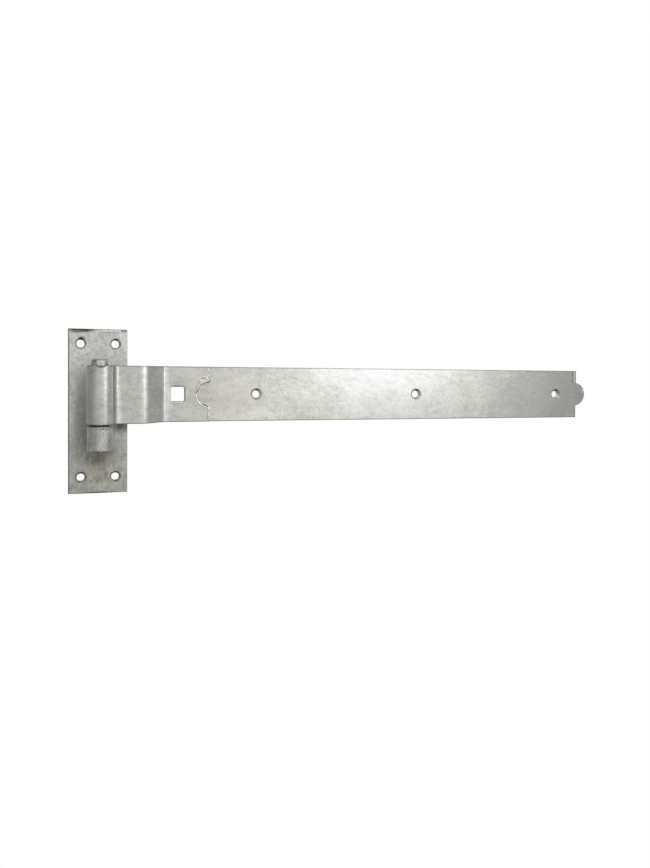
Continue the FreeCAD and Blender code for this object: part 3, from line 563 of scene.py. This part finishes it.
def notch_outline():
    """Points and open-side directions round the notched end, from the foot to the top."""
    reach = NOTCH_RADIUS + NOTCH_CORNER
    corner_up = math.sqrt(reach ** 2 - NOTCH_CORNER ** 2)
    meet = math.degrees(math.asin(NOTCH_CORNER / reach))
    corner_x = FRONT_END - NOTCH_CORNER
    end_gap = RIDGE_RADIUS + RIDGE_END_GAP
    rows = []

    def add_line(z_from, z_to):
        steps = max(1, round(abs(z_to - z_from) / BEAD_STEP))
        for n in range(steps + 1):
            rows.append(((FRONT_END, z_from + (z_to - z_from) * n / steps), (1.0, 0.0)))

    def add_arc(cx, cz, radius, start, end, side):
        steps = max(3, round(abs(math.radians(end - start)) * radius / BEAD_STEP))
        for n in range(1, steps + 1):
            turn = math.radians(start + (end - start) * n / steps)
            way = (math.cos(turn), math.sin(turn))
            rows.append(((cx + radius * way[0], cz + radius * way[1]),
                         (side * way[0], side * way[1])))

    add_line(BAND_LOW + end_gap, BAND_MIDDLE - corner_up)
    add_arc(corner_x, BAND_MIDDLE - corner_up, NOTCH_CORNER, 0, 90 - meet, 1)
    add_arc(FRONT_END, BAND_MIDDLE, NOTCH_RADIUS, 270 - meet, 90 + meet, -1)
    add_arc(corner_x, BAND_MIDDLE + corner_up, NOTCH_CORNER, meet - 90, 0, 1)
    add_line(BAND_MIDDLE + corner_up, BAND_HIGH - end_gap)
    return rows


def upper_shoulder(z, side_z):
    """Whether a point of the outline is on the notch's upper side, which looks down."""
    return z > BAND_MIDDLE and side_z < UPPER_SIDE_Z


def ragged(x, z, size, low, high):
    """A slow, repeatable ripple about size millimetres long, between low and high."""
    return low + (high - low) * (0.5 + ripple.noise(Vector((x / size, RIPPLE_SLICE, z / size))))


def sweep(rings):
    """A closed skin over rings of equally many points, capped at both ends."""
    count = len(rings[0])
    verts = [point for ring in rings for point in ring]
    faces = [tuple(range(count - 1, -1, -1)),
             tuple(range(len(verts) - count, len(verts)))]
    for n in range(len(rings) - 1):
        base = n * count
        for k in range(count):
            after = (k + 1) % count
            faces.append((base + k, base + after, base + count + after, base + count + k))
    return verts, faces


def new_piece(name, verts, faces, finish, body, slot_name):
    """A smooth-shaded piece from points in millimetres, riding on a body."""
    mesh = bpy.data.meshes.new(name)
    mesh.from_pydata([tuple(v * MM for v in vert) for vert in verts], [], faces)
    mesh.update()
    mesh.materials.append(finish)
    for polygon in mesh.polygons:
        polygon.use_smooth = True
    piece = link_object(name, mesh)
    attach(piece, body)


def make_notch_ridge():
    """Rounded lip of zinc standing on the front layer's edge."""
    rings = []
    for (x, z), (side_x, side_z) in notch_outline():
        radius = RIDGE_RADIUS * ragged(x, z, *RIDGE_RIPPLE)
        rise = RIDGE_RISE
        if upper_shoulder(z, side_z):
            radius *= RIDGE_SHOULDER_SWELL
        if z < BAND_MIDDLE - NOTCH_RADIUS:
            radius *= RIDGE_FOOT_SWELL
            rise = RIDGE_FOOT_RISE
        ring = []
        for turn in RING_TURNS:
            out = radius * math.cos(turn) - RIDGE_INSET
            ring.append((x + side_x * out,
                         LAYER_FRONT + RIDGE_DEPTH + rise * radius * math.sin(turn),
                         z + side_z * out))
        rings.append(ring)
    new_piece("notch_ridge", *sweep(rings), bead_and_highlight_finish, "band_side", "galvanised_band")


def make_notch_fillet():
    """Zinc in the corner between the front layer's end and the strap under it, near black as
    painted shade.
    """
    rings = []
    for (x, z), (side_x, side_z) in notch_outline():
        swell = ragged(x + FILLET_SHIFT, z, *FILLET_RIPPLE)
        if upper_shoulder(z, side_z):
            swell *= FILLET_SHOULDER_SWELL
        width, height = FILLET_WIDTH * swell, FILLET_HEIGHT * swell
        profile = ((-FILLET_SEAT, -FILLET_SEAT), (-FILLET_SEAT, height), (0.0, height),
                   (0.22 * width, 0.42 * height), (0.5 * width, 0.15 * height),
                   (width, 0.0), (width, -FILLET_SEAT))
        rings.append([(x + side_x * out, STRAP_FRONT - up, z + side_z * out)
                      for out, up in profile])
    new_piece("notch_fillet", *sweep(rings), corner_shade_finish, "band_side", "galvanised_band")


def make_hole_bead():
    """Burr of zinc along the lower edge of the square hole, on the front."""
    start = BOLT_HOLE_X - BOLT_HALF + BURR_END_GAP
    stop = BOLT_HOLE_X + BOLT_HALF - BURR_END_GAP
    level = BAND_MIDDLE - BOLT_HALF - BURR_DROP
    steps = round((stop - start) / BEAD_STEP)
    rings = []
    for n in range(steps + 1):
        x = start + (stop - start) * n / steps
        tapered = min(1.0, BURR_TIP + BURR_TAPER * min(n, steps - n))
        swell = tapered * ragged(x, 0, *BURR_RIPPLE)
        rings.append([(x, LAYER_FRONT + BURR_RISE * swell * math.cos(turn),
                       level + BURR_WIDTH * swell * math.sin(turn)) for turn in RING_TURNS])
    new_piece("bolt_hole_bead", *sweep(rings), bead_and_highlight_finish, "band_side", "galvanised_band")


def drop_skin(place, half_size, seed):
    """Vertices and faces of one lumpy drop, set about its place."""
    ways = [Vector((0, 0, 1))]
    for level in range(1, DROP_LEVELS):
        fall = math.pi * level / DROP_LEVELS
        ways += [Vector((math.sin(fall) * math.cos(math.tau * k / DROP_TURNS),
                         math.sin(fall) * math.sin(math.tau * k / DROP_TURNS),
                         math.cos(fall)))
                 for k in range(DROP_TURNS)]
    ways.append(Vector((0, 0, -1)))
    verts = []
    for way in ways:
        lump = 1 + DROP_LUMPS * ripple.noise(way * DROP_LUMP_RATE + Vector((seed, 0, 0)))
        verts.append(tuple(place[n] + half_size[n] * way[n] * lump for n in range(3)))
    foot = len(verts) - 1
    faces = []
    for k in range(DROP_TURNS):
        after = (k + 1) % DROP_TURNS
        faces.append((0, 1 + k, 1 + after))
        faces.append((foot, foot - DROP_TURNS + after, foot - DROP_TURNS + k))
        for level in range(DROP_LEVELS - 2):
            base = 1 + level * DROP_TURNS
            faces.append((base + k, base + DROP_TURNS + k, base + DROP_TURNS + after,
                          base + after))
    return verts, faces


def make_drops(name, drops, finish, body, slot_name):
    """One piece of several drops, each with a lumpy form of its own."""
    verts, faces = [], []
    for number, (place, half_size) in enumerate(drops):
        new_verts, new_faces = drop_skin(place, half_size, number * DROP_SEED_STEP)
        faces += [tuple(len(verts) + n for n in face) for face in new_faces]
        verts += new_verts
    new_piece(name, verts, faces, finish, body, slot_name)


def scattered(count, corner, span, front, seed):
    """Small drops scattered over a flat front, clear of the screw holes."""
    chance = random.Random(seed)
    drops = []
    while len(drops) < count:
        x = corner[0] + span[0] * chance.random()
        z = corner[1] + span[1] * chance.random()
        if any(math.hypot(x - hole_x, z - hole_z) < CLEAR_OF_HOLES
               for hole_x, hole_z in PLATE_PLACES + STRAP_PLACES):
            continue
        size = chance.uniform(*DROSS_SIZE)
        drops.append(((x, front, z),
                      (size * chance.uniform(*DROSS_STRETCH), DROSS_RISE * size, size)))
    return drops


def on_boss(turn, z):
    """A drop on the boss's side, turn degrees round from the front to the right."""
    way = math.radians(turn)
    place = (BOSS_RADIUS * math.sin(way), PIN_AXIS_Y - BOSS_RADIUS * math.cos(way), z)
    return place, BOSS_DROP


# Drops round the notch: centre and half size. Drops on the boss: turn and height, all of
# one half size.
NOTCH_DROPS = [
    ((77.3, LAYER_FRONT - 0.2, 25.2), (0.7, 0.4, 0.9)),
    ((77.0, LAYER_FRONT - 0.2, 22.3), (0.9, 0.4, 0.7)),
    ((74.0, LAYER_FRONT - 0.1, 21.2), (1.2, 0.3, 0.6)),
    ((71.5, LAYER_FRONT - 0.1, 19.6), (0.9, 0.3, 0.5)),
    ((75.4, LAYER_FRONT - 0.1, 24.1), (0.5, 0.3, 0.4)),
    ((73.0, LAYER_FRONT - 0.1, 22.7), (0.6, 0.3, 0.4)),
    ((70.3, LAYER_FRONT - 0.1, 21.6), (0.5, 0.3, 0.4)),
    ((67.4, LAYER_FRONT - 0.1, 13.6), (0.4, 0.3, 0.5)),
    ((77.2, LAYER_FRONT - 0.1, -3.5), (0.6, 0.35, 1.2)),
]
BOSS_SPOTS = ((-14, -10.8), (-2, -11.4), (12, -10.6), (24, -11.6), (33, -10.9), (38, -24.2),
              (50, -24.0), (-30, -22.5))
BOSS_DROP = (0.65, 0.25, 0.5)

# Camera, as found from the plate's corners, the holes and the strap's edges.
IMAGE_LONG_SIDE = 868.0
SENSOR_MM = 36.0
FOCAL_PIXELS = 790.1
AXIS_ABOVE_MIDDLE = 38.0
CAMERA_PLACE = Vector((-31.12 * MM, -578.11 * MM, 27.61 * MM))
CAMERA_TURN, CAMERA_PITCH, CAMERA_ROLL = 19.132, 1.607, -0.512
CAMERA_CLIP_START = 0.01
TABLE_TO_FRAME = Matrix(((1, 0, 0), (0, 0, -1), (0, 1, 0)))


def place_camera():
    """Camera at the photograph's place and angle."""
    turn = Matrix.Rotation(math.radians(CAMERA_TURN), 3, "Y")
    pitch = Matrix.Rotation(math.radians(CAMERA_PITCH), 3, "X")
    roll = Matrix.Rotation(math.radians(CAMERA_ROLL), 3, "Z")
    data = bpy.data.cameras.new("camera")
    data.sensor_width = SENSOR_MM
    data.lens = FOCAL_PIXELS * SENSOR_MM / IMAGE_LONG_SIDE
    data.shift_y = -AXIS_ABOVE_MIDDLE / IMAGE_LONG_SIDE
    data.clip_start = CAMERA_CLIP_START
    camera = link_object("camera", data)
    camera.matrix_world = Matrix.LocRotScale(
        CAMERA_PLACE, TABLE_TO_FRAME @ (roll @ pitch @ turn).transposed(), None)
    bpy.context.scene.camera = camera
    bpy.context.scene.view_settings.view_transform = "Standard"


light_room()
make_floor()
make_lamp()
make_notch_ridge()
make_notch_fillet()
make_hole_bead()
make_drops("strap_dross", NOTCH_DROPS + scattered(34, *STRAP_FIELD, STRAP_FRONT, seed=4),
           bead_and_highlight_finish, "band_side", "galvanised_band")
make_drops("plate_dross", scattered(26, *PLATE_FIELD, PLATE_FRONT, seed=8), plate_finish,
           "hook_side", "galvanised_plate")
make_drops("boss_dross", [on_boss(turn, z) for turn, z in BOSS_SPOTS], hook_finish,
           "hook_side", "galvanised_hook")
place_camera()
